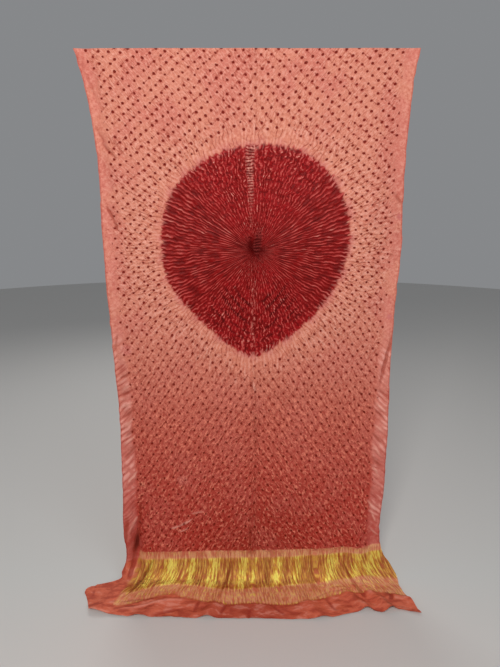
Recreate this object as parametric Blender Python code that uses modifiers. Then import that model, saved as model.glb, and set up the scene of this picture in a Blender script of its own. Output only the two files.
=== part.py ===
# Bandhani cloth: one length of tie-dyed silk that hangs flat from its top edge.
# Its plain end turns forward at the foot and lies out on the floor.
# Metres, +Z up, the front faces -Y.  The origin is the middle of the top edge.
import math
from collections import namedtuple

import bmesh
import bpy

# Driving sizes
HANG = 1.568  # top edge to floor
THICK = 0.002  # of the cloth
BEND_RISE = 0.090  # height at which the cloth starts to turn forward
BEND_REACH = 0.055  # how far in front of the hanging plane the turn ends
END_REACH = 0.180  # how far in front the end lies, at its middle
COLUMNS = 40  # faces across
HANG_ROWS = 40  # faces down the hanging part
BEND_ROWS = 9
END_ROWS = 9

# Lengths measured along the cloth, from the top edge
BEND_START = HANG - BEND_RISE
BEND_END = BEND_START + math.pi / 2 * math.sqrt((BEND_RISE ** 2 + BEND_REACH ** 2) / 2)
LENGTH = BEND_END + END_REACH - BEND_REACH

# The two selvedges, down the cloth
Side = namedtuple("Side", "run left right")
SIDES = (
    Side(0.00, -0.444, 0.429),
    Side(0.05, -0.432, 0.420),
    Side(0.13, -0.417, 0.416),
    Side(0.25, -0.406, 0.413),
    Side(0.41, -0.405, 0.417),
    Side(0.47, -0.405, 0.421),
    Side(0.60, -0.404, 0.415),
    Side(0.81, -0.401, 0.412),
    Side(1.02, -0.398, 0.417),
    Side(1.25, -0.402, 0.421),
    Side(1.42, -0.402, 0.421),
    Side(1.48, -0.401, 0.434),
    Side(1.505, -0.406, 0.453),
    Side(1.535, -0.419, 0.473),
    Side(1.565, -0.430, 0.481),
    Side(1.582, -0.486, 0.482),
    Side(1.600, -0.517, 0.484),
    Side(1.620, -0.524, 0.487),
    Side(1.655, -0.508, 0.502),
    Side(LENGTH, -0.487, 0.514),
)

# How far the end lies forward, across the cloth
Hem = namedtuple("Hem", "across reach")
HEM = (
    Hem(-1.00, 0.154),
    Hem(-0.84, 0.168),
    Hem(-0.50, 0.176),
    Hem(0.00, 0.180),
    Hem(0.45, 0.177),
    Hem(0.70, 0.152),
    Hem(0.79, 0.160),
    Hem(0.86, 0.149),
    Hem(1.00, 0.163),
)

# Folds of the hanging part: each is a soft ridge, or a trough where its depth is negative.
# It starts at a place across, drifts sideways as it goes down, and fades at both ends.
Fold = namedtuple("Fold", "across drift top foot width depth")
HANG_FOLDS = (
    Fold(-0.425, 0.060, -0.20, 0.62, 0.040, -0.009),
    Fold(-0.330, 0.070, 0.03, 0.75, 0.080, 0.006),
    Fold(0.330, -0.040, 0.05, 0.85, 0.080, 0.007),
    Fold(0.418, 0.000, 0.30, 0.60, 0.030, -0.006),
    Fold(0.400, 0.010, 0.55, 1.45, 0.045, 0.006),
    Fold(-0.395, 0.000, 0.60, 1.35, 0.040, -0.010),
    Fold(-0.240, 0.060, 0.75, 1.62, 0.150, 0.011),
    Fold(0.010, -0.020, 0.95, 1.60, 0.110, -0.007),
    Fold(0.180, 0.050, 0.80, 1.62, 0.130, 0.010),
    Fold(-0.350, -0.070, 1.20, 1.63, 0.026, -0.018),
    Fold(-0.385, -0.070, 1.18, 1.64, 0.030, 0.020),
    Fold(0.330, 0.120, 1.25, 1.62, 0.050, 0.014),
)

# Round swell of the gathered medallion
SWELL_ACROSS = 0.015
SWELL_DROP = 0.500
SWELL_RADIUS = 0.300
SWELL_DEPTH = 0.014

# Pleat groups of the metal band, where the cloth turns on to the floor
Pleat = namedtuple("Pleat", "across width depth")
BAND_TOP = 1.455
BAND_FOOT = 1.665
BAND_PLEATS = (
    Pleat(-0.330, 0.036, 0.005),
    Pleat(-0.250, 0.034, 0.008),
    Pleat(-0.128, 0.040, 0.010),
    Pleat(-0.035, 0.036, 0.006),
    Pleat(0.085, 0.042, 0.008),
    Pleat(0.165, 0.036, 0.005),
    Pleat(0.265, 0.042, 0.009),
    Pleat(0.375, 0.048, 0.008),
)

# Folds of the end that lies on the floor: raised only, the rest of it is flat.
# Each leans from its place at the turn to its place at the hem.
Ruck = namedtuple("Ruck", "start hem width height")
END_RUCKS = (
    Ruck(-0.400, -0.470, 0.050, 0.010),
    Ruck(-0.200, -0.330, 0.045, 0.009),
    Ruck(-0.075, -0.130, 0.035, 0.011),
    Ruck(0.130, 0.215, 0.040, 0.009),
    Ruck(0.290, 0.352, 0.030, 0.016),
    Ruck(0.365, 0.425, 0.030, 0.019),
)


def smooth_value(rows, at):
    # value at a place on a smooth curve through (place, value) rows
    last = len(rows) - 1
    i = 0
    while i < last - 1 and at > rows[i + 1][0]:
        i += 1
    before = rows[max(i - 1, 0)]
    start = rows[i]
    end = rows[i + 1]
    after = rows[min(i + 2, last)]
    span = end[0] - start[0]
    slope_in = (end[1] - before[1]) / (end[0] - before[0]) * span
    slope_out = (after[1] - start[1]) / (after[0] - start[0]) * span
    t = min(max((at - start[0]) / span, 0.0), 1.0)
    rise = t * t * (3 - 2 * t)
    return (
        start[1] * (1 - rise)
        + end[1] * rise
        + slope_in * t * (1 - t) ** 2
        - slope_out * t * t * (1 - t)
    )


def hump(offset, width):
    # smooth hump of height one that ends at its width on each side
    reach = min(abs(offset) / width, 1.0)
    return 0.5 + 0.5 * math.cos(math.pi * reach)


def fade(at, top, foot):
    # rises from nought at the top, to one halfway, and back at the foot
    return hump(at - (top + foot) / 2, (foot - top) / 2)


def path_point(run, reach):
    # forward distance, height and forward tilt of the cloth's path
    if run <= BEND_START:
        return 0.0, -run, 0.0
    if run <= BEND_END:
        turn = (run - BEND_START) / (BEND_END - BEND_START) * math.pi / 2
        forward = BEND_REACH * (1 - math.cos(turn))
        return forward, -BEND_START - BEND_RISE * math.sin(turn), turn
    share = (run - BEND_END) / (LENGTH - BEND_END)
    return BEND_REACH + share * (reach - BEND_REACH), -HANG, math.pi / 2


def hanging_relief(x, run):
    # how far the hanging cloth stands out from its plane
    relief = 0.0
    for fold in HANG_FOLDS:
        middle = fold.across + fold.drift * (run - fold.top)
        relief += fold.depth * hump(x - middle, fold.width) * fade(run, fold.top, fold.foot)
    distance = math.hypot(x - SWELL_ACROSS, run - SWELL_DROP)
    relief += SWELL_DEPTH * hump(distance, SWELL_RADIUS)
    for pleat in BAND_PLEATS:
        relief += pleat.depth * hump(x - pleat.across, pleat.width) * fade(run, BAND_TOP, BAND_FOOT)
    return relief


def end_relief(x, run):
    # how far the end is raised from the floor
    share = min(max((run - BEND_END) / (LENGTH - BEND_END), 0.0), 1.0)
    relief = 0.0
    for ruck in END_RUCKS:
        middle = ruck.start + (ruck.hem - ruck.start) * share
        relief = max(relief, ruck.height * hump(x - middle, ruck.width) * math.sqrt(share))
    return relief


def drape(across, run):
    # point of the cloth's back face: across is -1 at the left selvedge and 1 at the right
    left = smooth_value([(side.run, side.left) for side in SIDES], run)
    right = smooth_value([(side.run, side.right) for side in SIDES], run)
    reach = smooth_value(HEM, across)
    x = left + (right - left) * (across + 1) / 2
    forward, height, turn = path_point(run, reach)
    relief = hanging_relief(x, run) * math.cos(turn) + end_relief(x, run)
    forward += relief * math.cos(turn)
    height += relief * math.sin(turn)
    return x, -forward, max(height, -HANG)


def run_of_row(row):
    # length along the cloth at a row of the grid
    if row <= HANG_ROWS:
        return BEND_START * row / HANG_ROWS
    row -= HANG_ROWS
    if row <= BEND_ROWS:
        return BEND_START + (BEND_END - BEND_START) * row / BEND_ROWS
    return BEND_END + (LENGTH - BEND_END) * (row - BEND_ROWS) / END_ROWS


def silk_material():
    material = bpy.data.materials.new("dyed_silk")
    material.use_nodes = True
    shader = material.node_tree.nodes["Principled BSDF"]
    shader.inputs["Base Color"].default_value = (0.56, 0.17, 0.12, 1.0)
    shader.inputs["Roughness"].default_value = 0.5
    shader.inputs["Metallic"].default_value = 0.0
    return material


def make_cloth(collection):
    rows = HANG_ROWS + BEND_ROWS + END_ROWS
    sheet = bmesh.new()
    bmesh.ops.create_grid(sheet, x_segments=COLUMNS, y_segments=rows, size=1.0)
    for vert in sheet.verts:
        row = round((1 - vert.co.y) / 2 * rows)
        vert.co = drape(vert.co.x, run_of_row(row))
    mesh = bpy.data.meshes.new("bandhani_cloth")
    sheet.to_mesh(mesh)
    sheet.free()
    mesh.shade_smooth()
    mesh.materials.append(silk_material())
    cloth = bpy.data.objects.new("bandhani_cloth", mesh)
    collection.objects.link(cloth)
    shell = cloth.modifiers.new("thickness", "SOLIDIFY")
    shell.thickness = THICK
    shell.offset = 1.0
    return cloth


for old in list(bpy.data.objects):
    bpy.data.objects.remove(old, do_unlink=True)
parts = bpy.data.collections.new("bandhani_cloth")
bpy.context.scene.collection.children.link(parts)
make_cloth(parts)
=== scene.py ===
import math
from collections import namedtuple

import bmesh
import bpy
import numpy as np
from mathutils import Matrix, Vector


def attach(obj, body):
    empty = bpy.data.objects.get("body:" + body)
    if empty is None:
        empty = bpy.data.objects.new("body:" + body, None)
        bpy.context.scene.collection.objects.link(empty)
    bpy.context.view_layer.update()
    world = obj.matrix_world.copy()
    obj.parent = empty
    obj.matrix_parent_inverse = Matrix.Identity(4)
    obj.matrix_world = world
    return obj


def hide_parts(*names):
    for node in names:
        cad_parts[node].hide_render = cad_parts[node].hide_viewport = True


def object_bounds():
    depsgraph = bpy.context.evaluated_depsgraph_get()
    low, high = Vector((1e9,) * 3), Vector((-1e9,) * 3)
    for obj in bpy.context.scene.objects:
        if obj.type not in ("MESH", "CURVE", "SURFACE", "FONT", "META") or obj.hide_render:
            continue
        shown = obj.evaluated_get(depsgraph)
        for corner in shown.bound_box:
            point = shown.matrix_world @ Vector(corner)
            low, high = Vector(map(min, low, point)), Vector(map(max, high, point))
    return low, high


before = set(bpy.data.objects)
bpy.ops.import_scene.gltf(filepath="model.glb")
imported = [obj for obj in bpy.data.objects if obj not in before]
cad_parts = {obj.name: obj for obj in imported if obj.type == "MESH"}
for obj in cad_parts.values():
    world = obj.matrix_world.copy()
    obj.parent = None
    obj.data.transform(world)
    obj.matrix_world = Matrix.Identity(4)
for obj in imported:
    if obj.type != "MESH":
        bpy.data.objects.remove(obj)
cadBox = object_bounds()
floorHeight = cadBox[0][2]

# ---- the drape: how the cloth hangs and turns on to the floor, in metres
drape = {
    "bendRise": 0.090,  # height above the floor where it starts to turn forward
    "bendReach": 0.055,  # how far forward the turn ends
    "endReach": 0.180,  # how far forward the end lies
    "columns": 230,
    "rows": 430,
    "lift": 0.0005,  # how far the cloth is kept clear of its solid and of the floor
}
hang = -floorHeight
bendStart = hang - drape["bendRise"]
bendArc = math.pi / 2 * math.sqrt((drape["bendRise"] ** 2 + drape["bendReach"] ** 2) / 2)
bendEnd = bendStart + bendArc
clothLength = bendEnd + drape["endReach"] - drape["bendReach"]

# selvedges down the cloth
sideRow = namedtuple("sideRow", "run left right")
sides = (
    sideRow(0.000, -0.444, 0.429),
    sideRow(0.050, -0.432, 0.420),
    sideRow(0.130, -0.417, 0.416),
    sideRow(0.250, -0.406, 0.413),
    sideRow(0.410, -0.405, 0.417),
    sideRow(0.470, -0.405, 0.421),
    sideRow(0.600, -0.404, 0.415),
    sideRow(0.810, -0.401, 0.412),
    sideRow(1.020, -0.398, 0.417),
    sideRow(1.250, -0.402, 0.421),
    sideRow(1.420, -0.402, 0.421),
    sideRow(1.480, -0.401, 0.434),
    sideRow(1.505, -0.406, 0.453),
    sideRow(1.535, -0.419, 0.473),
    sideRow(1.565, -0.430, 0.481),
    sideRow(1.582, -0.486, 0.482),
    sideRow(1.600, -0.517, 0.484),
    sideRow(1.620, -0.524, 0.487),
    sideRow(1.655, -0.508, 0.502),
    sideRow(clothLength, -0.487, 0.514),
)

# how far the end lies forward, across the cloth
hemRow = namedtuple("hemRow", "across reach")
hem = (
    hemRow(-1.00, 0.154),
    hemRow(-0.84, 0.168),
    hemRow(-0.50, 0.176),
    hemRow(0.00, 0.180),
    hemRow(0.45, 0.177),
    hemRow(0.70, 0.152),
    hemRow(0.79, 0.160),
    hemRow(0.86, 0.149),
    hemRow(1.00, 0.163),
)

# soft ridges and troughs of the hanging part
foldRow = namedtuple("foldRow", "across drift top foot width depth")
hangFolds = (
    foldRow(-0.425, 0.060, -0.20, 0.62, 0.040, -0.009),
    foldRow(-0.330, 0.070, 0.03, 0.75, 0.080, 0.006),
    foldRow(0.330, -0.040, 0.05, 0.85, 0.080, 0.007),
    foldRow(0.418, 0.000, 0.30, 0.60, 0.030, -0.006),
    foldRow(0.400, 0.010, 0.55, 1.45, 0.045, 0.006),
    foldRow(-0.395, 0.000, 0.60, 1.35, 0.040, -0.010),
    foldRow(-0.240, 0.060, 0.75, 1.62, 0.150, 0.011),
    foldRow(0.010, -0.020, 0.95, 1.60, 0.110, -0.007),
    foldRow(0.180, 0.050, 0.80, 1.62, 0.130, 0.010),
    foldRow(-0.350, -0.070, 1.20, 1.63, 0.026, -0.018),
    foldRow(-0.385, -0.070, 1.18, 1.64, 0.030, 0.020),
    foldRow(0.330, 0.120, 1.25, 1.62, 0.050, 0.014),
)

# pleat groups of the metal band
pleatRow = namedtuple("pleatRow", "across width depth")
bandPleats = (
    pleatRow(-0.330, 0.036, 0.005),
    pleatRow(-0.250, 0.034, 0.008),
    pleatRow(-0.128, 0.040, 0.010),
    pleatRow(-0.035, 0.036, 0.006),
    pleatRow(0.085, 0.042, 0.006),
    pleatRow(0.165, 0.036, 0.005),
    pleatRow(0.265, 0.042, 0.009),
    pleatRow(0.375, 0.048, 0.008),
)

# raised folds of the end on the floor, from the turn to the hem
ruckRow = namedtuple("ruckRow", "start hem width height")
endRucks = (
    ruckRow(-0.400, -0.470, 0.050, 0.010),
    ruckRow(-0.200, -0.330, 0.045, 0.009),
    ruckRow(-0.075, -0.130, 0.035, 0.011),
    ruckRow(0.130, 0.215, 0.040, 0.009),
    ruckRow(0.290, 0.352, 0.030, 0.016),
    ruckRow(0.365, 0.425, 0.030, 0.019),
)

# single creases and small ridges, from one end to the other
creaseRow = namedtuple("creaseRow", "x0 run0 x1 run1 width depth")
creases = (
    # the longer tucks of the left margin
    creaseRow(-0.385, 1.225, -0.350, 1.180, 0.006, 0.0040),
    creaseRow(-0.390, 1.395, -0.345, 1.325, 0.007, 0.0045),
    creaseRow(-0.385, 0.740, -0.395, 0.795, 0.007, -0.0030),
    # the deep fold beside the left selvedge
    creaseRow(-0.350, 1.300, -0.365, 1.410, 0.009, -0.0050),
    creaseRow(-0.365, 1.410, -0.380, 1.500, 0.011, -0.0110),
    creaseRow(-0.380, 1.500, -0.395, 1.560, 0.011, -0.0080),
    creaseRow(-0.390, 1.330, -0.400, 1.470, 0.012, -0.0045),
    creaseRow(-0.395, 1.440, -0.415, 1.545, 0.010, -0.0060),
    creaseRow(-0.390, 1.400, -0.405, 1.520, 0.007, 0.0040),
    # upper left
    creaseRow(-0.440, 0.000, -0.390, 0.140, 0.008, -0.0020),
    creaseRow(-0.405, 0.180, -0.380, 0.230, 0.007, -0.0025),
    creaseRow(-0.390, 0.225, -0.350, 0.265, 0.007, -0.0040),
    creaseRow(-0.365, 0.215, -0.325, 0.260, 0.006, -0.0030),
    creaseRow(-0.390, 0.385, -0.370, 0.425, 0.007, -0.0060),
    creaseRow(-0.370, 0.425, -0.365, 0.450, 0.007, -0.0050),
    creaseRow(-0.350, 0.060, -0.285, 0.110, 0.004, 0.0012),
    creaseRow(-0.300, 0.030, -0.260, 0.100, 0.004, 0.0012),
    # upper right, and the longer tucks of the right margin
    creaseRow(0.390, 0.350, 0.415, 0.380, 0.007, -0.0035),
    creaseRow(0.410, 0.750, 0.385, 0.895, 0.008, -0.0060),
    creaseRow(0.370, 1.280, 0.400, 1.325, 0.006, 0.0035),
    creaseRow(0.385, 1.320, 0.405, 1.365, 0.006, 0.0035),
    creaseRow(0.385, 1.385, 0.415, 1.415, 0.006, 0.0030),
    # loose ridges above the band, and the one under the round's point
    creaseRow(-0.255, 1.385, -0.225, 1.375, 0.006, 0.0035),
    creaseRow(-0.225, 1.375, -0.185, 1.350, 0.006, 0.0045),
    creaseRow(-0.190, 1.330, -0.145, 1.325, 0.006, 0.0025),
    creaseRow(-0.230, 1.400, -0.195, 1.380, 0.006, 0.0030),
    creaseRow(0.010, 0.885, 0.015, 0.925, 0.006, 0.0040),
    creaseRow(0.000, 0.875, 0.005, 0.930, 0.006, -0.0030),
    # folds that cross the metal band
    creaseRow(-0.310, 1.490, -0.385, 1.625, 0.008, -0.0070),
    creaseRow(-0.330, 1.515, -0.380, 1.610, 0.007, -0.0050),
    creaseRow(-0.170, 1.500, -0.190, 1.590, 0.010, -0.0050),
    creaseRow(-0.060, 1.505, -0.090, 1.610, 0.009, -0.0080),
    creaseRow(0.050, 1.500, 0.060, 1.610, 0.010, -0.0050),
    creaseRow(0.000, 1.320, 0.000, 1.660, 0.006, -0.0040),
    creaseRow(0.200, 1.490, 0.205, 1.590, 0.012, -0.0050),
    creaseRow(0.300, 1.500, 0.335, 1.570, 0.008, -0.0060),
    creaseRow(0.335, 1.570, 0.360, 1.645, 0.010, -0.0130),
    creaseRow(0.350, 1.560, 0.380, 1.640, 0.012, 0.0060),
    # wrinkles of the end on the floor
    creaseRow(0.430, 1.620, 0.445, 1.640, 0.009, -0.0090),
    creaseRow(0.445, 1.640, 0.440, 1.665, 0.009, -0.0100),
    creaseRow(-0.070, 1.660, -0.090, 1.705, 0.009, -0.0060),
    creaseRow(-0.155, 1.645, -0.170, 1.695, 0.010, -0.0060),
    creaseRow(0.000, 1.680, -0.005, 1.720, 0.008, -0.0050),
    creaseRow(-0.495, 1.645, -0.495, 1.605, 0.008, -0.0040),
    creaseRow(-0.430, 1.665, -0.280, 1.640, 0.009, -0.0050),
    creaseRow(-0.390, 1.695, -0.200, 1.645, 0.010, 0.0050),
    creaseRow(-0.300, 1.715, -0.190, 1.680, 0.010, -0.0050),
    creaseRow(0.185, 1.650, 0.255, 1.615, 0.008, -0.0040),
    creaseRow(0.255, 1.615, 0.325, 1.610, 0.008, -0.0040),
    creaseRow(0.060, 1.665, 0.110, 1.710, 0.009, -0.0040),
    creaseRow(0.230, 1.640, 0.265, 1.705, 0.009, -0.0040),
)

# runs of slanting tucks down the margins, between two heights
tuckRun = namedtuple("tuckRun", "outer inner first last count")
marginTucks = (
    tuckRun(-0.390, -0.348, 0.86, 1.09, 9),
    tuckRun(0.406, 0.374, 0.91, 1.16, 8),
)

# painted glints of the metal band: where groups of its thread catch the light
shineRow = namedtuple("shineRow", "across width amount")
bandShine = (
    shineRow(-0.330, 0.022, 0.7),
    shineRow(-0.262, 0.040, 1.0),
    shineRow(-0.194, 0.022, 1.0),
    shineRow(-0.122, 0.028, 1.0),
    shineRow(-0.026, 0.026, 0.9),
    shineRow(0.012, 0.010, 0.7),
    shineRow(0.088, 0.026, 0.8),
    shineRow(0.150, 0.024, 0.7),
    shineRow(0.262, 0.034, 1.0),
    shineRow(0.345, 0.026, 0.9),
    shineRow(0.392, 0.040, 0.9),
)

# ---- what is dyed, tied and woven into it
pattern = {
    "middle": 0.015,  # centre crease and centre of the round, across
    "focus": 0.490,  # centre of the round, down from the top
    "gatherAcross": 0.002,  # where the round's pleats meet, beside its centre
    "gatherRun": 0.504,  # and down from the top
    "swellRadius": 0.300,
    "swellDepth": 0.014,
    "pleats": 96,  # pleats round the edge of the round
    "tieAcross": 0.0285,  # between dots of one row
    "tieDown": 0.0138,  # between rows at the top edge
    "tieGrowth": 0.0052,  # how much that grows for each metre down the cloth
    "dotSize": 0.0027,
}

# edge of the round: its radius by the angle from straight up, clockwise
rimRow = namedtuple("rimRow", "angle radius")
rim = (
    rimRow(0, 0.263),
    rimRow(30, 0.276),
    rimRow(60, 0.271),
    rimRow(90, 0.258),
    rimRow(125, 0.253),
    rimRow(150, 0.266),
    rimRow(166, 0.289),
    rimRow(180, 0.318),
    rimRow(191, 0.304),
    rimRow(205, 0.277),
    rimRow(232, 0.260),
    rimRow(250, 0.265),
    rimRow(270, 0.260),
    rimRow(300, 0.268),
    rimRow(330, 0.262),
    rimRow(360, 0.263),
)

# the metal band, by its top and foot down the cloth, and the thin line below it
bandRow = namedtuple("bandRow", "across top foot line")
band = (
    bandRow(-0.55, 1.504, 1.640, 1.690),
    bandRow(-0.38, 1.501, 1.622, 1.672),
    bandRow(-0.27, 1.498, 1.586, 1.632),
    bandRow(-0.18, 1.496, 1.589, 1.648),
    bandRow(-0.08, 1.495, 1.607, 1.667),
    bandRow(0.00, 1.495, 1.603, 1.663),
    bandRow(0.12, 1.491, 1.590, 1.667),
    bandRow(0.25, 1.482, 1.572, 1.640),
    bandRow(0.38, 1.472, 1.552, 1.625),
    bandRow(0.55, 1.462, 1.570, 1.650),
)


def smoothValue(rows, at):
    # a smooth curve through (place, value) rows, read at many places
    places = np.array([row[0] for row in rows], float)
    values = np.array([row[1] for row in rows], float)
    slopes = np.gradient(values, places)
    index = np.clip(np.searchsorted(places, at) - 1, 0, len(places) - 2)
    span = places[index + 1] - places[index]
    t = np.clip((at - places[index]) / span, 0.0, 1.0)
    rise = t * t * (3 - 2 * t)
    curve = slopes[index] * t * (1 - t) ** 2 - slopes[index + 1] * t * t * (1 - t)
    return values[index] * (1 - rise) + values[index + 1] * rise + span * curve


def column(rows, name):
    return [(row[0], getattr(row, name)) for row in rows]


def hump(offset, width):
    return 0.5 + 0.5 * np.cos(np.pi * np.minimum(np.abs(offset) / width, 1.0))


def fade(at, top, foot):
    return hump(at - (top + foot) / 2, (foot - top) / 2)


def ramp(at, start, end):
    t = np.clip((at - start) / (end - start), 0.0, 1.0)
    return t * t * (3 - 2 * t)


def makeNoise(seed):
    # smooth seeded unevenness, from -1 to 1, one cell for each unit of x and y
    table = np.random.default_rng(seed).uniform(-1.0, 1.0, (128, 128))

    def noiseAt(x, y):
        column0 = np.floor(x).astype(int)
        row0 = np.floor(y).astype(int)
        a = x - column0
        b = y - row0
        a = a * a * a * (a * (a * 6 - 15) + 10)
        b = b * b * b * (b * (b * 6 - 15) + 10)
        low = table[row0 % 128, column0 % 128] * (1 - a) + table[row0 % 128, (column0 + 1) % 128] * a
        high = (
            table[(row0 + 1) % 128, column0 % 128] * (1 - a)
            + table[(row0 + 1) % 128, (column0 + 1) % 128] * a
        )
        return low * (1 - b) + high * b

    return noiseAt


broadNoise = makeNoise(3)
wrinkleNoise = makeNoise(8)
pleatNoise = makeNoise(14)
fineNoise = makeNoise(21)


def crease(phase):
    # sharp valleys at whole numbers, round crests between them
    return np.abs(np.sin(np.pi * phase))


def pathPoint(run, reach):
    # forward distance, height and forward tilt of the cloth's path
    turn = np.clip((run - bendStart) / bendArc, 0.0, 1.0) * np.pi / 2
    share = np.clip((run - bendEnd) / (clothLength - bendEnd), 0.0, 1.0)
    forward = drape["bendReach"] * (1 - np.cos(turn)) + share * (reach - drape["bendReach"])
    height = -np.minimum(run, bendStart) - drape["bendRise"] * np.sin(turn)
    return forward, height, turn


def tiePlace(x, run):
    # place in the grid of tied dots: the rows bend towards the round
    across = x - pattern["middle"]
    down = run - pattern["focus"]
    near = across ** 2 + down ** 2 + 0.05 ** 2
    pull = 0.022 * down / near
    sag = 0.045 * np.exp(-((across / 0.30) ** 2)) * down / np.sqrt(down ** 2 + 0.25 ** 2)
    shifted = run + pull + sag + 0.0022 * wrinkleNoise(x * 22, run * 22)
    growth = pattern["tieGrowth"] / pattern["tieDown"]
    q = np.log(np.maximum(1 + growth * shifted, 0.2)) / growth / pattern["tieDown"]
    p = (across + 0.0024 * wrinkleNoise(x * 25 + 40, run * 25)) / pattern["tieAcross"]
    return p, q


def roundShare(x, run):
    # distance from the focus, as a share of the round's radius in that direction
    across = x - pattern["middle"]
    up = pattern["focus"] - run
    radius = smoothValue(rim, np.degrees(np.arctan2(across, up)) % 360)
    return np.hypot(across, up) / radius


def hangingFolds(x, run):
    relief = np.zeros_like(x)
    for fold in hangFolds:
        middle = fold.across + fold.drift * (run - fold.top)
        relief += fold.depth * hump(x - middle, fold.width) * fade(run, fold.top, fold.foot)
    distance = np.hypot(x - pattern["middle"], run - pattern["focus"] - 0.01)
    relief += pattern["swellDepth"] * hump(distance, pattern["swellRadius"])
    for pleat in bandPleats:
        relief += pleat.depth * hump(x - pleat.across, pleat.width) * fade(run, 1.455, 1.665)
    return relief


def endFolds(x, run):
    share = np.clip((run - bendEnd) / (clothLength - bendEnd), 0.0, 1.0)
    relief = np.zeros_like(x)
    for ruck in endRucks:
        middle = ruck.start + (ruck.hem - ruck.start) * share
        relief = np.maximum(relief, ruck.height * hump(x - middle, ruck.width) * np.sqrt(share))
    return relief


def tiePuckers(x, run, p, q):
    # a net of creases through the dots, leaning in from both sides of the centre crease
    lead = q / 2 - np.abs(p)
    cross = q / 2 + np.abs(p)
    patch = 0.75 + 0.45 * wrinkleNoise(x * 34 + 9, run * 34)
    return (0.65 * crease(lead) ** 0.8 + 0.35 * crease(cross)) * patch


def roundPleats(angle, share, wander):
    # pleats that fan out from the focus: half as many further in, and a quarter close to it
    turns = angle / (2 * np.pi)
    outer = crease(turns * pattern["pleats"] + wander)
    inner = crease(turns * pattern["pleats"] / 2 + wander)
    innermost = crease(turns * pattern["pleats"] / 4 + wander)
    toOuter = ramp(share, 0.42, 0.58)
    toInner = ramp(share, 0.16, 0.26)
    return outer * toOuter + inner * toInner * (1 - toOuter) + innermost * (1 - toInner)


def tuckRows(margin):
    # sunk and raised in turn, each with its outer end lower, steeper further down
    rows = []
    for number in range(margin.count):
        share = number / (margin.count - 1)
        inner = margin.first + (margin.last - margin.first) * share + 0.005 * math.sin(2.4 * number)
        drop = 0.020 + 0.028 * share + 0.006 * math.sin(1.7 * number)
        depth = (-0.0038, 0.0028)[number % 2]
        rows.append(creaseRow(margin.outer, inner + drop, margin.inner, inner, 0.007, depth))
    return rows


def singleCreases(x, run):
    # each crease dies out at its two ends
    relief = np.zeros_like(x)
    tucks = [row for margin in marginTucks for row in tuckRows(margin)]
    for row in (*creases, *tucks):
        alongX = row.x1 - row.x0
        alongRun = row.run1 - row.run0
        length = math.hypot(alongX, alongRun)
        share = ((x - row.x0) * alongX + (run - row.run0) * alongRun) / length ** 2
        off = ((x - row.x0) * alongRun - (run - row.run0) * alongX) / length
        off = off + 0.0015 * wrinkleNoise(x * 60, run * 60)
        relief += row.depth * hump(off, row.width) * hump(share - 0.5, 0.62) ** 0.5
    return relief


def measure(x, run, left, right):
    # where each point lies in the pattern
    place = {"x": x, "run": run, "edge": np.minimum(x - left, right - x)}
    place["p"], place["q"] = tiePlace(x, run)
    place["share"] = roundShare(x, run)
    place["angle"] = np.arctan2(x - pattern["middle"] - pattern["gatherAcross"], pattern["gatherRun"] - run)
    for name in ("top", "foot", "line"):
        place[name] = smoothValue(column(band, name), x)
    place["wander"] = 0.30 * wrinkleNoise(x * 27, run * 27) + 0.25 * pleatNoise(x * 9, run * 9)
    place["slant"] = run + np.where(x < pattern["middle"], 1.0, -1.0) * x * 0.85
    tucks = crease(place["slant"] / 0.0205 + 1.1 * wrinkleNoise(x * 12 + 3, run * 16))
    place["tucks"] = tucks * (0.75 + 0.6 * pleatNoise(x * 24, run * 26))
    wide = (x - pattern["middle"]) * (1 - 0.14 * ramp(run, place["top"], place["line"]))
    wide = wide + 0.10 * (run - place["top"]) * broadNoise(x * 9, 0 * x)
    place["upright"] = wide / 0.0115 + 0.8 * pleatNoise(wide * 38, run * 4)
    place["wide"] = wide
    place["aboveBand"] = 1 - ramp(run, place["top"] - 0.026, place["top"] - 0.012)
    place["belowBand"] = ramp(run, place["line"] - 0.006, place["line"] + 0.010)
    place["inRound"] = 1 - ramp(place["share"], 0.90, 1.02)
    toSide = np.sin(place["angle"]) ** 2
    sideReach = (0.09 + 0.03 * np.sign(x)) * toSide + 0.04 * wrinkleNoise(x * 30 + 5, run * 30)
    uneven = 0.006 * pleatNoise(x * 22, run * 26) - 0.010 * ramp(run, 0.72, 0.92)
    place["inTies"] = (
        ramp(place["edge"] + uneven, 0.018, 0.044)
        * ramp(place["share"] + sideReach, 1.05, 1.20)
        * place["aboveBand"]
    )
    place["creases"] = singleCreases(x, run)
    return place


# how high each kind of fine relief stands, in metres
heights = {
    "pucker": 0.0013,
    "puckerGain": 0.0015,  # added further down, where the cloth is looser
    "roundPleat": 0.0030,
    "halo": 0.0007,
    "hollow": 0.010,  # depth of the round's focus
    "marginTuck": 0.0013,
    "gathered": 0.0022,
    "bandGain": 0.0028,  # added in the metal band
    "endBroad": 0.0026,
    "endFine": 0.0012,
    "centreCrease": 0.0014,
    "uneven": 0.0012,
    "sway": 0.0035,
}


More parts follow.
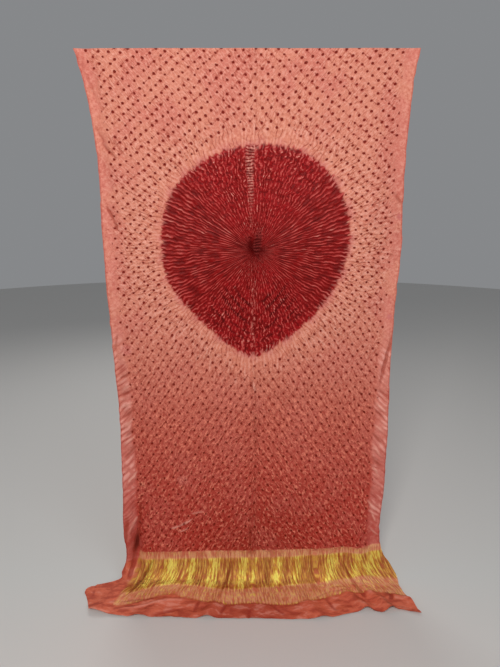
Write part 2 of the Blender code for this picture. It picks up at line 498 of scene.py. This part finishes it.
def clothRelief(place):
    # fine relief that stands on the folds
    x = place["x"]
    run = place["run"]
    share = place["share"]
    aboveBand = place["aboveBand"]
    gathered = heights["pucker"] + heights["puckerGain"] * ramp(run, 0.60, 1.05)
    relief = place["inTies"] * gathered * tiePuckers(x, run, place["p"], place["q"])

    pleats = roundPleats(place["angle"], share, place["wander"])
    broken = 0.8 + 0.5 * pleatNoise(x * 55, run * 55)
    broken = broken * (0.35 + 0.65 * ramp(share, 0.1, 0.5))
    relief += place["inRound"] * heights["roundPleat"] * pleats * broken
    turns = place["angle"] / (2 * np.pi)
    halo = crease(turns * pattern["pleats"] * 1.25 + place["wander"])
    inHalo = ramp(share, 0.97, 1.0) * (1 - ramp(share, 1.15, 1.45))
    relief += inHalo * heights["halo"] * halo * (0.5 + 0.9 * fineNoise(x * 42, run * 42))
    relief -= heights["hollow"] * np.exp(-((share / 0.09) ** 2))

    # slanting tucks of the plain margins
    inMargin = (1 - ramp(place["edge"], 0.035, 0.055)) * aboveBand
    strong = 0.5 + 0.9 * ramp(run, 0.80, 0.90) * (1 - ramp(run, 1.20, 1.34))
    relief += inMargin * heights["marginTuck"] * place["tucks"] * strong
    relief += place["creases"]

    # the metal band, gathered into narrow upright pleats, and the gathered strips beside it
    beside = (1 - aboveBand) * (1 - place["belowBand"])
    inBand = ramp(run, place["top"] - 0.004, place["top"] + 0.006)
    inBand = inBand * (1 - ramp(run, place["foot"] - 0.006, place["foot"] + 0.004))
    tall = heights["gathered"] + heights["bandGain"] * inBand
    ragged = 0.75 + 0.55 * pleatNoise(place["wide"] * 70, run * 9)
    relief += beside * tall * crease(place["upright"]) * ragged

    # the end on the floor: soft wrinkles that run with the hem and across it
    onEnd = place["belowBand"]
    relief += onEnd * heights["endBroad"] * (1 + wrinkleNoise(x * 16 + run * 26, run * 40 - x * 8))
    relief += onEnd * heights["endFine"] * (1 + fineNoise(x * 50 + 9, run * 60 + x * 14))

    # centre crease, and the unevenness of hand-tied silk all over
    offCentre = x - pattern["middle"] + 0.006 - 0.003 * broadNoise(run * 6, 0 * run)
    centre = np.exp(-((offCentre / 0.0045) ** 2))
    outside = 1 - place["inRound"]
    relief += heights["centreCrease"] * centre * outside * (1 - onEnd)
    uneven = wrinkleNoise(x * 30 + 70, run * 22) * (1 - 0.7 * place["inRound"])
    relief += heights["uneven"] * uneven * (1 - onEnd)
    relief += heights["sway"] * broadNoise(x * 7 + 2, run * 5) * aboveBand * ramp(run, 0.0, 0.25)
    return relief


def makeCloth():
    sheet = bmesh.new()
    bmesh.ops.create_grid(sheet, x_segments=drape["columns"], y_segments=drape["rows"], size=1.0)
    mesh = bpy.data.meshes.new("bandhaniCloth")
    sheet.to_mesh(mesh)
    sheet.free()

    count = len(mesh.vertices)
    grid = np.empty(count * 3)
    mesh.vertices.foreach_get("co", grid)
    across = grid.reshape(-1, 3)[:, 0]
    down = (1 - grid.reshape(-1, 3)[:, 1]) / 2
    run = down * clothLength
    left = smoothValue(column(sides, "left"), run) + 0.0012 * wrinkleNoise(run * 55, 0 * run)
    right = smoothValue(column(sides, "right"), run) + 0.0012 * wrinkleNoise(run * 55, 0 * run + 9)
    x = left + (right - left) * (across + 1) / 2
    forward, height, turn = pathPoint(run, smoothValue(column(hem, "reach"), across))
    place = measure(x, run, left, right)
    fine = clothRelief(place)
    relief = hangingFolds(x, run) * np.cos(turn) + endFolds(x, run) + fine + drape["lift"]
    points = np.empty((count, 3))
    points[:, 0] = x
    points[:, 1] = -forward - relief * np.cos(turn)
    lowest = floorHeight + drape["lift"] + np.maximum(fine, 0)
    points[:, 2] = np.maximum(height + relief * np.sin(turn), lowest)
    mesh.vertices.foreach_set("co", points.ravel())

    uvMap = mesh.uv_layers.new(name="OFBake")
    corners = np.empty(len(mesh.loops), int)
    mesh.loops.foreach_get("vertex_index", corners)
    layout = np.stack([(across + 1) / 2, 1 - down], axis=1)[corners]
    uvMap.uv.foreach_set("vector", layout.ravel())

    shine = np.zeros(count)
    for row in bandShine:
        shine = np.maximum(shine, row.amount * hump(x - row.across + 0.15 * (run - 1.55), row.width))
    bandLeft = ramp(x + 0.30 * (run - 1.50), -0.371, -0.363)
    fields = {
        "tie": (place["p"], place["q"], place["inTies"]),
        "spot": (x - pattern["middle"], pattern["focus"] - run, place["share"]),
        "metal": (run - place["top"], run - place["foot"], run - place["line"]),
        "lie": (place["edge"], run, place["slant"]),
        "lines": (place["wander"], place["upright"], place["creases"] / 0.003),
        "glint": (shine, bandLeft, place["tucks"]),
    }
    for name, parts in fields.items():
        field = mesh.attributes.new(name, "FLOAT_VECTOR", "POINT")
        field.data.foreach_set("vector", np.stack(parts, axis=1).ravel())
    mesh.shade_smooth()
    mesh.update()
    cloth = bpy.data.objects.new("bandhaniCloth", mesh)
    bpy.context.scene.collection.objects.link(cloth)
    return cloth


# ---- materials
class Flow:
    # a socket of a material's nodes, with arithmetic
    def __init__(self, tree, socket=None):
        self.tree = tree
        self.socket = socket

    def node(self, kind, settings=None, values=None, out=0):
        new = self.tree.nodes.new(kind)
        for name, value in (settings or {}).items():
            setattr(new, name, value)
        for name, value in (values or {}).items():
            if isinstance(value, Flow):
                self.tree.links.new(value.socket, new.inputs[name])
            else:
                new.inputs[name].default_value = value
        return Flow(self.tree, new.outputs[out])

    def maths(self, operation, *others):
        values = dict(enumerate((self, *others)))
        return self.node("ShaderNodeMath", {"operation": operation}, values)

    def __add__(self, other):
        return self.maths("ADD", other)

    def __sub__(self, other):
        return self.maths("SUBTRACT", other)

    def __mul__(self, other):
        return self.maths("MULTIPLY", other)

    def __truediv__(self, other):
        return self.maths("DIVIDE", other)

    def __rsub__(self, other):
        return self.node("ShaderNodeMath", {"operation": "SUBTRACT"}, {0: other, 1: self})

    __radd__ = __add__
    __rmul__ = __mul__

    def part(self, axis):
        return self.node("ShaderNodeSeparateXYZ", None, {0: self}, axis)

    def joined(self, second, third=0.0):
        return self.node("ShaderNodeCombineXYZ", None, {0: self, 1: second, 2: third})

    def size(self):
        return self.maths("ABSOLUTE")

    def wave(self):
        # valleys at whole numbers, round crests between them
        return (self * math.pi).maths("SINE").size()

    def step(self, start, end):
        # 0 before start and 1 after end
        return self.node(
            "ShaderNodeMapRange",
            {"interpolation_type": "SMOOTHSTEP"},
            {"Value": self, "From Min": start, "From Max": end},
        )

    def within(self, start, end, soft):
        return self.step(start - soft, start + soft) * (1 - self.step(end - soft, end + soft))

    def mix(self, first, second):
        # this socket is the share of the second colour
        return self.node("ShaderNodeMix", {"data_type": "RGBA"}, {0: self, 6: first, 7: second}, 2)

    def noise(self, scale, detail=2.0, rough=0.5):
        values = {"Vector": self, "Scale": scale, "Detail": detail, "Roughness": rough}
        return self.node("ShaderNodeTexNoise", None, values)

    def luck(self):
        return self.node("ShaderNodeTexWhiteNoise", {"noise_dimensions": "2D"}, {"Vector": self}, 1)


def colour(red, green, blue):
    return (red, green, blue, 1.0)


# colours of the dye, silk and metal, together with the painted highlights, glints and shade laid over them
dyeAndPaintedLight = {
    "upper": colour(0.71, 0.250, 0.172),
    "lower": colour(0.49, 0.050, 0.035),
    "rosy": colour(0.62, 0.165, 0.130),
    "peach": colour(0.72, 0.250, 0.158),
    "crest": colour(0.93, 0.440, 0.345),
    "crestLow": colour(0.94, 0.275, 0.180),
    "marginPinkAndHighlight": colour(0.96, 0.430, 0.360),
    "valley": colour(0.36, 0.030, 0.018),
    "creaseShadeAndTail": colour(0.33, 0.048, 0.026),
    "edge": colour(0.74, 0.240, 0.190),
    "stain": colour(0.58, 0.125, 0.095),
    "mauve": colour(0.58, 0.150, 0.150),
    "deepFoldShade": colour(0.130, 0.014, 0.008),
    "round": colour(0.215, 0.003, 0.002),
    "roundBright": colour(0.340, 0.006, 0.008),
    "roundPink": colour(0.540, 0.068, 0.060),
    "roundDeep": colour(0.120, 0.003, 0.003),
    "roundBlack": colour(0.045, 0.001, 0.001),
    "roundSheenHighlight": colour(0.82, 0.360, 0.290),
    "dot": colour(0.200, 0.008, 0.0015),
    "end": colour(0.68, 0.155, 0.085),
    "endDeep": colour(0.36, 0.046, 0.029),
    "fringe": colour(0.80, 0.400, 0.210),
    "gold": colour(0.74, 0.40, 0.060),
    "goldBright": colour(1.00, 0.86, 0.17),
    "goldShade": colour(0.40, 0.115, 0.020),
    "goldDeep": colour(0.20, 0.045, 0.012),
}


def readCloth(tree):
    # the fields measured on the cloth, by plain names
    start = Flow(tree)
    names = {
        "tie": ("p", "q", "inTies"),
        "spot": ("across", "up", "ratio"),
        "metal": ("fromTop", "fromFoot", "fromLine"),
        "lie": ("edge", "run", "slant"),
        "lines": ("wander", "upright", "crease"),
        "glint": ("shine", "bandLeft", "tucks"),
    }
    fields = {"place": start.node("ShaderNodeTexCoord", None, None, 3)}
    for name, parts in names.items():
        field = start.node("ShaderNodeAttribute", {"attribute_name": name}, None, 1)
        for axis, part in enumerate(parts):
            fields[part] = field.part(axis)
    fields["side"] = fields["across"].step(-0.02, 0.02)
    toGather = fields["up"] + (pattern["gatherRun"] - pattern["focus"])
    toSide = fields["across"] - pattern["gatherAcross"]
    fields["turns"] = toSide.maths("ARCTAN2", toGather) * (0.5 / math.pi)
    fields["sideways"] = (fields["turns"] * (2 * math.pi)).maths("SINE").size()
    fields["coarse"] = fields["place"].noise(24, 2.0)

    # fine radial pleats, half as many again in the outer part, and the noise that breaks their crests
    turns = fields["turns"]
    ratio = fields["ratio"]
    beside = fields["sideways"].step(0.50, 0.90)
    weave = fields["wander"] * 1.5 + (fields["place"].noise(56, 1.0) - 0.5) * (2.2 - 1.1 * beside)
    outer = (turns * (pattern["pleats"] * 3 // 2) + weave).wave()
    inner = (turns * pattern["pleats"] + weave * 0.5).wave()
    toOuter = ratio.step(0.42, 0.56)
    near = ratio.step(0.03, 0.12)
    fields["pleat"] = outer * toOuter + (inner * near + (1 - near) * 0.6) * (1 - toOuter)
    short = (turns * 150).joined(ratio * 25, 2.0).noise(1.0, 2.0, 0.6)
    long = (turns * 130).joined(ratio * 8, 5.0).noise(1.0, 1.5)
    fields["broken"] = short * (1 - beside) + long * beside
    fields["drawn"] = long
    fields["beside"] = beside
    return fields


def tiedGround(cloth):
    # colour and height of the ground with its tied dots and puckers
    place = cloth["place"]
    run = cloth["run"]
    side = cloth["side"]
    p = cloth["p"]
    q = cloth["q"]
    lead = q * 0.5 - p.size()
    cross = q * 0.5 + p.size()
    ratio = cloth["ratio"]
    inTies = cloth["inTies"]
    lower = run.step(0.55, 1.05)
    ragged = place.noise(280, 1.0)
    coarse = cloth["coarse"]

    ground = run.step(0.52, 1.42).mix(dyeAndPaintedLight["upper"], dyeAndPaintedLight["lower"])
    centreColumn = (1 - (cloth["across"] - 0.005).size().step(0.03, 0.26)) * run.step(1.16, 1.44)
    ground = (centreColumn * 0.75).mix(ground, dyeAndPaintedLight["valley"])
    mottled = place.noise(9, 3).step(0.44, 0.60) * (0.60 - 0.38 * lower)
    ground = mottled.mix(ground, dyeAndPaintedLight["rosy"])
    halo = (1 - ratio.step(1.0, 1.55)) * (1 - run.step(0.75, 1.2))
    ground = (halo * 0.6).mix(ground, dyeAndPaintedLight["peach"])
    margin = 1 - inTies.step(0.0, 0.8)
    margin = margin * (1 - cloth["edge"].step(0.040, 0.060))
    ground = (margin * (0.10 + 0.35 * place.noise(17, 2.0).step(0.45, 0.6))).mix(ground, dyeAndPaintedLight["edge"])
    bare = (margin + (1 - ratio.step(1.1, 1.4))).maths("MINIMUM", 1.0) * (1 - lower * 0.6)
    # fine creases on the bare parts, painted as pale highlight lines and dark shade lines
    fineCreaseLines = place.noise(130, 2.0, 0.6)
    ground = (bare * fineCreaseLines.step(0.52, 0.62) * 0.30).mix(ground, dyeAndPaintedLight["crest"])
    ground = (bare * (1 - fineCreaseLines.step(0.36, 0.46)) * 0.28).mix(ground, dyeAndPaintedLight["valley"])

    blotches = (
        (-0.21, 1.21, 0.020, "rosy", 0.7),
        (-0.34, 1.23, 0.010, "peach", 0.6),
        (-0.36, 0.79, 0.018, "mauve", 0.4),
        (0.41, 0.41, 0.010, "mauve", 0.6),
        (0.40, 0.69, 0.008, "mauve", 0.6),
    )
    for x, row, radius, name, share in blotches:
        offAcross = cloth["across"] - (x - pattern["middle"])
        offRun = run - row
        gap = (offAcross * offAcross + offRun * offRun).maths("SQRT") + (ragged - 0.5) * 0.012
        ground = ((1 - gap.step(radius * 0.5, radius * 1.2)) * share).mix(ground, dyeAndPaintedLight[name])

    # puckers between the ties, long across the leading creases, with painted highlight on their crests and
    # painted shade in their hollows and along the leading creases
    puckers = (lead * 3.3).joined(cross * 1.9, side * 6).noise(1.0, 2.2, 0.60)
    crinkles = (cross * 5.2).joined(lead * 1.6, side * 4).noise(1.0, 1.0)
    light = puckers.step(0.50, 0.62) * (0.55 + 0.45 * coarse.step(0.40, 0.60))
    shade = 1 - puckers.step(0.36, 0.49)
    crossing = (1 - lead.wave().step(0.0, 0.45)) * (0.2 + 0.7 * crinkles.step(0.44, 0.56))
    crestHighlight = lower.mix(dyeAndPaintedLight["crest"], dyeAndPaintedLight["crestLow"])
    ground = (light * inTies * (0.36 + 0.34 * lower)).mix(ground, crestHighlight)
    ground = ((shade + crossing) * inTies * (0.16 + 0.36 * lower)).mix(ground, dyeAndPaintedLight["valley"])

    # painted shade in the crinkle hollows low on the cloth
    arcs = (1 - crinkles.step(0.34, 0.43)) * inTies * lower
    ground = (arcs * 0.40).mix(ground, dyeAndPaintedLight["valley"])

    # fine crinkles that cross the leading creases high on the cloth, with painted highlight on their ridges
    # and painted shade where they sink
    high = inTies * (1 - lower)
    ground = (high * crinkles.step(0.54, 0.64) * 0.40).mix(ground, dyeAndPaintedLight["crest"])
    sunk = 1 - crinkles.step(0.36, 0.44)
    ground = (high * sunk * coarse.step(0.42, 0.56) * 0.50).mix(ground, dyeAndPaintedLight["creaseShadeAndTail"])

    # radial creases around the round, with painted shade in their furrows and painted highlight on their
    # crests, and the mauve dye bled out at the round's edge
    outside = ratio.step(0.99, 1.02)
    reach = ratio - 0.30 * cloth["sideways"] + (cloth["drawn"] - 0.5) * 0.9
    inHalo = outside * (1 - reach.step(1.03, 1.24))
    radial = (cloth["turns"] * 176 + cloth["wander"] * 1.0 + (coarse - 0.5) * 2.6).wave()
    pieces = (cloth["turns"] * 88).joined(ratio * 11, 7.0).noise(1.0, 1.0).step(0.47, 0.56)
    furrow = (1 - radial.step(0.02, 0.40)) * pieces
    ground = (inHalo * furrow * 0.95).mix(ground, dyeAndPaintedLight["creaseShadeAndTail"])
    ground = (inHalo * radial.step(0.60, 1.0) * (1 - pieces) * 0.45).mix(ground, dyeAndPaintedLight["crest"])
    bleed = (1 - ratio.step(0.99, 1.10)) * (0.25 + 0.75 * coarse.step(0.46, 0.60))
    ground = (bleed * 0.50).mix(ground, dyeAndPaintedLight["mauve"])

    # slanting tucks in the margins, single creases, and the selvedge; the tucks and creases are painted
    # lighter where raised and darker where sunk
    streaks = (cloth["slant"] * 190).joined(cloth["across"] * 26).noise(1.0, 1.0)
    tucked = margin * run.within(0.74, 1.36, 0.08)
    tucks = cloth["tucks"] + (streaks - 0.5) * 0.7
    # a pale pink tone of the margin, with a painted highlight on the raised tucks
    tuckPinkAndHighlight = 0.14 + 0.62 * tucks.step(0.40, 0.95) * coarse.step(0.42, 0.56)
    ground = (tucked * tuckPinkAndHighlight).mix(ground, dyeAndPaintedLight["marginPinkAndHighlight"])
    # painted shade in the hollows between the tucks
    darkTuck = (1 - tucks.step(0.0, 0.34)) * (0.30 + 0.70 * coarse.step(0.40, 0.56))
    ground = (tucked * darkTuck * 0.60).mix(ground, dyeAndPaintedLight["valley"])
    # painted highlight on raised single creases, painted shade in sunk ones and a deep painted shadow in
    # the deepest
    ground = (cloth["crease"].step(0.05, 1.1) * 0.60).mix(ground, dyeAndPaintedLight["crest"])
    ground = ((1 - cloth["crease"].step(-1.2, -0.05)) * 0.65).mix(ground, dyeAndPaintedLight["creaseShadeAndTail"])
    ground = ((1 - cloth["crease"].step(-3.2, -1.4)) * 0.85).mix(ground, dyeAndPaintedLight["deepFoldShade"])
    ground = ((1 - cloth["edge"].step(0.001, 0.005)) * 0.45).mix(ground, dyeAndPaintedLight["valley"])

    # dots at the whole numbers of u and v, with a dark tail along the leading crease: partly dye that ran
    # along it, partly painted crease shade
    u = p + q * 0.5
    v = p - q * 0.5
    nearU = u - u.maths("ROUND")
    nearV = v - v.maths("ROUND")
    offAcross = (nearU + nearV) * (0.5 * pattern["tieAcross"])
    offDown = (nearU - nearV) * 0.0165
    chances = u.maths("ROUND").joined(v.maths("ROUND")).luck()
    luck = chances.part(0)
    offAcross = offAcross + (chances.part(1) - 0.5) * 0.0065
    offDown = offDown + (chances.part(2) - 0.5) * 0.0055
    distance = (offAcross * offAcross + offDown * offDown).maths("SQRT")
    size = pattern["dotSize"] * (0.82 + 0.36 * luck) * (1.22 - 0.22 * lower)
    dots = 1 - (distance + (ragged - 0.5) * 0.0026 - size).step(-0.0010, 0.0012)
    dots = dots * (inTies + (luck - 0.5) * 0.55).step(0.42, 0.52)
    alongTail = (nearV * (1 - side) + nearU * side) + (luck - 0.5) * 0.7
    offTail = (nearU * (1 - side) + nearV * side + (coarse - 0.5) * 0.6).size()
    tail = (1 - offTail.step(0.01, 0.13)) * (1 - alongTail.size().step(0.14, 0.40))
    tail = tail * inTies * ragged.step(0.25, 0.6) * (0.45 + 0.55 * coarse.step(0.38, 0.56))
    ground = (tail * 0.95).mix(ground, dyeAndPaintedLight["creaseShadeAndTail"])
    stain = (1 - distance.step(0.002, 0.009)) * coarse.step(0.46, 0.60) * inTies * (1 - lower)
    ground = (stain * 0.50).mix(ground, dyeAndPaintedLight["stain"])
    ground = (dots * (0.97 - 0.10 * lower)).mix(ground, dyeAndPaintedLight["dot"])

    height = ((puckers - 0.5) * 0.0066 + lead.wave() * 0.0008) * (0.45 + 0.55 * lower) * inTies
    height = height + (crinkles - 0.5) * high * 0.0016
    height = height - 0.0010 * dots + inHalo * radial * pieces * 0.0010 + tucked * tucks * 0.0016
    return ground, height


def pleatedRound(cloth):
    # colour and height of the round, gathered into pleats that meet at its focus
    ratio = cloth["ratio"]
    wander = cloth["wander"]
    sideways = cloth["sideways"]
    up = cloth["up"]
    beside = cloth["beside"]
    pleat = cloth["pleat"]
    broken = cloth["broken"]
    patch = cloth["place"].noise(30, 2.0)

    below = 1 - up.step(-0.05, 0.02)
    rose = (beside * 0.70).mix(dyeAndPaintedLight["roundBright"], dyeAndPaintedLight["round"])
    rose = (patch.step(0.40, 0.60) * 0.60).mix(rose, dyeAndPaintedLight["round"])
    cleftAcross = cloth["across"] - 0.007 - (up - 0.01) * 0.10
    cleft = (cleftAcross * cleftAcross * 9.0 + (up - 0.012) * (up - 0.012)).maths("SQRT")
    hollow = (cloth["across"] + 0.008 + up * 0.5).size() * 1.1 + (up + 0.004).size() * 1.3
    rose = ((1 - ratio.step(0.05, 0.42)) * 0.40).mix(rose, dyeAndPaintedLight["round"])
    uneven = (broken - 0.5) * 0.05
    # painted shade in the hollow at the focus and in its cleft
    rose = ((1 - (hollow + uneven).step(0.004, 0.062)) * 0.75).mix(rose, dyeAndPaintedLight["roundBlack"])
    rose = ((1 - (cleft + uneven).step(0.016, 0.046)) * 0.80).mix(rose, dyeAndPaintedLight["roundBlack"])
    slits = (up / 0.0085 + patch * 1.5).wave().step(0.4, 0.9) * (1 - cleft.step(0.030, 0.045))
    rose = (slits * 0.35).mix(rose, dyeAndPaintedLight["roundPink"])
    rows = (ratio / 0.085 + sideways * 1.6 + patch * 1.2).wave()
    arcs = below * ratio.within(0.46, 0.90, 0.06) * (1 - sideways.step(0.45, 0.8))
    arcs = arcs * sideways.step(0.02, 0.16) * (1 - rows.step(0.25, 0.75))
    rose = (arcs * (0.25 + 0.45 * patch.step(0.42, 0.58))).mix(rose, dyeAndPaintedLight["roundBlack"])
    # painted shade in the pleat furrows and in the sunk parts of the broken relief
    furrow = (1 - pleat.step(0.05, 0.60)) * (0.26 + 0.28 * beside * patch.step(0.36, 0.60))
    rose = furrow.mix(rose, dyeAndPaintedLight["roundDeep"])
    rose = ((1 - broken.step(0.38, 0.50)) * 0.65).mix(rose, dyeAndPaintedLight["roundDeep"])
    # painted sheen along the pleat crests, with brighter painted glints on them, and a painted highlight on
    # the crests near the rim
    crest = pleat.step(0.70, 1.0)
    away = ratio.step(0.08, 0.20)
    line = broken.step(0.44, 0.56) * (1 - 0.15 * beside) + 0.15 * beside
    rose = (crest * line * 0.85).mix(rose, dyeAndPaintedLight["roundPink"])
    sheenGlint = crest * broken.step(0.56, 0.70) * (0.25 + 0.75 * patch.step(0.42, 0.58)) * away
    rose = (sheenGlint * (0.92 - 0.45 * beside - 0.30 * below)).mix(rose, dyeAndPaintedLight["roundSheenHighlight"])
    rim = ratio.step(0.93, 0.98) * crest * patch.step(0.4, 0.6)
    rose = (rim * 0.30).mix(rose, dyeAndPaintedLight["roundSheenHighlight"])

    # the run of small cross tucks above the focus, and a fainter one below it: painted highlight on the
    # tucks and painted shade between them
    tucksOff = (cloth["across"] + 0.011 + wander * 0.010).size() - 0.05 * (up - 0.20)
    ladder = (1 - tucksOff.step(0.004, 0.014)) * up.within(0.050, 0.262, 0.006)
    ladder = ladder * (0.40 + 0.60 * up.step(0.10, 0.15))
    rungs = (up / 0.0078 + wander * 2.2 + (patch - 0.5) * 2.0).wave()
    paleRungs = ladder * rungs.step(0.35, 0.85) * (0.20 + 0.40 * broken.step(0.42, 0.58))
    rose = paleRungs.mix(rose, dyeAndPaintedLight["roundSheenHighlight"])
    rose = (ladder * (1 - rungs.step(0.10, 0.45)) * 0.6).mix(rose, dyeAndPaintedLight["roundDeep"])
    seam = (1 - (cloth["across"] + 0.006).size().step(0.002, 0.009)) * below * broken.step(0.46, 0.60)
    rose = (seam * 0.22 * ratio.step(0.2, 0.5)).mix(rose, dyeAndPaintedLight["roundSheenHighlight"])

    height = (pleat - 0.6) * 0.0010 + (broken - 0.5) * 0.0036 + rungs * ladder * 0.0014
    return rose, height * (1 - ratio.step(0.94, 1.0))


def metalEnd(cloth, silk):
    # the band of metal thread, the gathered strips beside it, and the plain end
    upright = cloth["upright"]
    run = cloth["run"]
    place = cloth["place"]
    threads = (upright * 2.3).joined(run * 26).noise(1.0, 2.0)
    fine = (upright * 6.5).joined(run * 55, 3.0).noise(1.0, 1.0)
    pleat = upright.wave()

    below = cloth["fromTop"].step(-0.004, 0.004)
    wrinkle = (place.part(0) * 22).joined(place.part(1) * 46, cloth["run"] * 20).noise(1.0, 3.0, 0.6)
    # painted shade in the wrinkle hollows
    plain = ((1 - wrinkle.step(0.38, 0.54)) * 0.60).mix(dyeAndPaintedLight["end"], dyeAndPaintedLight["endDeep"])
    centreShade = (1 - (cloth["across"] + 0.02).size().step(0.04, 0.24)) * 0.55
    plain = centreShade.mix(plain, dyeAndPaintedLight["endDeep"])
    # painted highlight on the wrinkle ridges and raised creases, painted shade in sunk creases
    plain = (wrinkle.step(0.54, 0.68) * 0.35).mix(plain, dyeAndPaintedLight["crest"])
    plain = (cloth["crease"].step(0.05, 1.2) * 0.35).mix(plain, dyeAndPaintedLight["crest"])
    plain = ((1 - cloth["crease"].step(-1.4, -0.05)) * 0.70).mix(plain, dyeAndPaintedLight["endDeep"])
    base = below.mix(silk, plain)

    # gathered strips: the ground drawn into threads
    strip = cloth["fromTop"].step(-0.026, -0.018) * (1 - cloth["fromLine"].step(-0.006, 0.002))
    strip = strip * cloth["bandLeft"]
    base = (strip * (0.35 + 0.60 * threads.step(0.42, 0.58))).mix(base, dyeAndPaintedLight["fringe"])
    base = (strip * (1 - fine.step(0.36, 0.50)) * 0.60).mix(base, dyeAndPaintedLight["end"])
    # painted shade in the sunk creases across the strips
    base = (strip * (1 - cloth["crease"].step(-2.2, -0.3)) * 0.60).mix(base, dyeAndPaintedLight["endDeep"])

    inBand = cloth["fromTop"].step(-0.003, 0.005) * (1 - cloth["fromFoot"].step(-0.006, 0.004))
    inBand = inBand * cloth["bandLeft"]
    inLine = cloth["fromLine"].within(-0.006, 0.001, 0.0015) * cloth["bandLeft"]
    gold = inBand * (0.55 + 0.45 * fine.step(0.36, 0.50))
    # more metal colour where the painted glints are
    gold = gold * (0.84 + 0.16 * cloth["shine"].step(0.05, 0.5))
    gold = gold + (1 - inBand) * inLine * fine.step(0.46, 0.60) * 0.25
    gold = gold + (1 - inBand) * strip * fine.step(0.54, 0.66) * (0.35 + 0.35 * below)
    gold = gold.maths("MINIMUM", 1.0)
    # painted light on the metal: painted glints and highlights on the pleat crests, painted shade in the
    # pleat valleys where the red warp also shows, and deep painted shade in sunk creases
    bright = cloth["shine"] * 0.56 + (threads - 0.5) * 2.0 + (fine - 0.5) * 1.6 + (pleat - 0.5) * 0.30
    metalColour = bright.step(-0.25, 0.40).mix(dyeAndPaintedLight["goldShade"], dyeAndPaintedLight["gold"])
    metalColour = (bright.step(0.32, 0.66) * 0.95).mix(metalColour, dyeAndPaintedLight["goldBright"])
    metalColour = ((1 - cloth["crease"].step(-2.2, -0.3)) * 0.60).mix(metalColour, dyeAndPaintedLight["goldDeep"])
    finish = gold.mix(base, metalColour)
    height = inBand * (threads * 0.0030 + fine * 0.0012)
    height = height + (strip - inBand).maths("MAXIMUM", 0.0) * (threads * 0.0020 + fine * 0.0008)
    height = height + below * (1 - strip) * wrinkle * 0.0045
    return finish, gold, fine, height


def silkMaterial():
    material = bpy.data.materials.new("tieDyedSilk")
    material.use_nodes = True
    tree = material.node_tree
    shader = tree.nodes["Principled BSDF"]
    cloth = readCloth(tree)
    ground, groundHeight = tiedGround(cloth)
    rose, roundHeight = pleatedRound(cloth)
    toothed = cloth["ratio"] - (cloth["pleat"] - 0.5) * 0.014 - (cloth["drawn"] - 0.5) * 0.11
    inRound = 1 - toothed.step(0.982, 1.014)
    dyed = inRound.mix(ground, rose)
    finish, gold, threads, endHeight = metalEnd(cloth, dyed)

    place = cloth["place"]
    crinkle = place.noise(260, 2, 0.6)
    weave = place.noise(1500, 1)
    height = groundHeight * cloth["ratio"].step(0.98, 1.06) + roundHeight + endHeight
    height = height + crinkle * 0.0007 + weave * 0.00012
    bump = height.node("ShaderNodeBump", None, {"Strength": 1.0, "Distance": 1.0, "Height": height})
    roughness = (0.50 + 0.12 * crinkle - 0.08 * inRound) * (1 - gold) + gold * (0.50 + 0.12 * threads)
    links = {"Base Color": finish, "Roughness": roughness, "Metallic": gold * 0.45, "Normal": bump}
    for name, value in links.items():
        tree.links.new(value.socket, shader.inputs[name])
    shader.inputs["Specular IOR Level"].default_value = 0.10
    return material


cloth = makeCloth()
cloth.data.materials.append(silkMaterial())
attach(cloth, "root")
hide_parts("bandhani_cloth")
print("cloth made:", len(cloth.data.polygons), "faces")

# ---- floor, light and camera
studio = {
    "floorColour": colour(0.66, 0.65, 0.63),
    "floorRadius": 7.0,
    "world": colour(0.80, 0.82, 0.85),
    "worldStrength": 0.30,
    "cameraDistance": 1.35,
    "cameraDrop": 0.3907,
    "tilt": 14.5,
    "lens": 26.0,
}


def aimed(place, target):
    return (Vector(target) - Vector(place)).to_track_quat("-Z", "Y").to_euler()


def makeFloor():
    plane = bmesh.new()
    bmesh.ops.create_circle(plane, cap_ends=True, segments=128, radius=studio["floorRadius"])
    bmesh.ops.translate(plane, vec=(0, 0, floorHeight), verts=plane.verts)
    mesh = bpy.data.meshes.new("floor")
    plane.to_mesh(mesh)
    plane.free()
    floor = bpy.data.objects.new("floor", mesh)
    bpy.context.scene.collection.objects.link(floor)
    material = bpy.data.materials.new("paleFloor")
    material.use_nodes = True
    shader = material.node_tree.nodes["Principled BSDF"]
    shader.inputs["Base Color"].default_value = studio["floorColour"]
    shader.inputs["Roughness"].default_value = 0.85
    mesh.materials.append(material)
    return floor


def addLamp(name, place, target, size, power, tint):
    light = bpy.data.lights.new(name, "AREA")
    light.shape = "RECTANGLE"
    light.size = size[0]
    light.size_y = size[1]
    light.energy = power
    light.color = tint
    lamp = bpy.data.objects.new(name, light)
    lamp.location = place
    lamp.rotation_euler = aimed(place, target)
    bpy.context.scene.collection.objects.link(lamp)


lampRow = namedtuple("lampRow", "name place target size power tint")
lamps = (
    lampRow("keySoftbox", (-0.35, -2.1, 0.75), (0.0, 0.0, -0.6), (0.6, 0.4), 40, (1.0, 0.97, 0.93)),
    lampRow("fillSoftbox", (1.6, -2.2, 0.1), (0.0, 0.0, -0.8), (1.4, 1.4), 11, (0.95, 0.97, 1.0)),
    lampRow("backSoftbox", (-0.8, 2.2, 0.9), (0.0, 0.0, -0.8), (1.4, 1.4), 20, (1.0, 0.98, 0.96)),
)
makeFloor()
for row in lamps:
    addLamp(*row)

world = bpy.data.worlds.new("studioAir")
world.use_nodes = True
world.node_tree.nodes["Background"].inputs[0].default_value = studio["world"]
world.node_tree.nodes["Background"].inputs[1].default_value = studio["worldStrength"]
bpy.context.scene.world = world
bpy.context.scene.view_settings.view_transform = "Standard"

cameraData = bpy.data.cameras.new("camera")
cameraData.lens = studio["lens"]
cameraData.sensor_width = 36.0
camera = bpy.data.objects.new("camera", cameraData)
camera.location = (0.0, -studio["cameraDistance"], -studio["cameraDrop"])
camera.rotation_euler = (math.radians(90 - studio["tilt"]), 0.0, 0.0)
bpy.context.scene.collection.objects.link(camera)
bpy.context.scene.camera = camera
print("studio ready")
